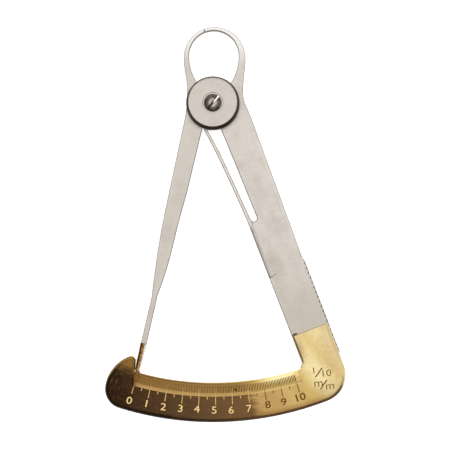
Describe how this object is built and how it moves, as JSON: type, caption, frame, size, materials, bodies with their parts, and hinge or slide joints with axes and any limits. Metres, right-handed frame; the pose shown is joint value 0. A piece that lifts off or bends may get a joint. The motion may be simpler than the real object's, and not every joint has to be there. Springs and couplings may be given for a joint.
{
  "type": "dental measuring caliper",
  "caption": "Flat spring caliper gauge: two crossed steel arms end in a ring of measuring jaws, and a brass needle runs over a curved brass scale in tenths of a millimetre.",
  "frame": {"origin": "on the pivot's axis, in the flat back face that the gauge lies on", "axes": "+Z out of the scale side along the pivot, +Y from the pivot through the jaws, +X to the side of the scale arm"},
  "size_m": [0.0599, 0.0982, 0.0051],
  "materials": {
    "arm_steel": "satin, fine cross brushing",
    "spring_steel": "ground, darker edges",
    "cover_steel": "satin, turned",
    "screw_steel": "polished head",
    "scale_brass": "fine grained, tarnished",
    "tip_brass": "drawn, tarnished"
  },
  "bodies": {
    "scale_half": {"scale_arm": "arm_steel", "scale_plate": "scale_brass", "cover_disc": "cover_steel", "pivot_screw": "screw_steel", "pivot_nut": "arm_steel", "spring_washer": "spring_steel"},
    "pointer_half": {"pointer_arm": "arm_steel", "pointer_tip": "tip_brass"},
    "spring": {"leaf_spring": "spring_steel"}
  },
  "joints": [
    {"name": "pointer_swing", "type": "hinge", "parent": "scale_half", "child": "pointer_half", "pos_m": [0, 0, 0], "axis": [0, 0, 1], "range_deg": [0, 32.4], "stiffness_Nm_per_rad": 0.019, "springref_deg": -28.65},
    {"name": "spring_flex", "type": "hinge", "parent": "scale_half", "child": "spring", "pos_m": [0.01485, -0.04283, 0.0009], "axis": [0, 0, -1], "range_deg": [0, 5], "deforming": ["leaf_spring"]}
  ],
  "couplings": [
    {"joint": "spring_flex", "follows": "pointer_swing", "ratio": 0.145}
  ]
}
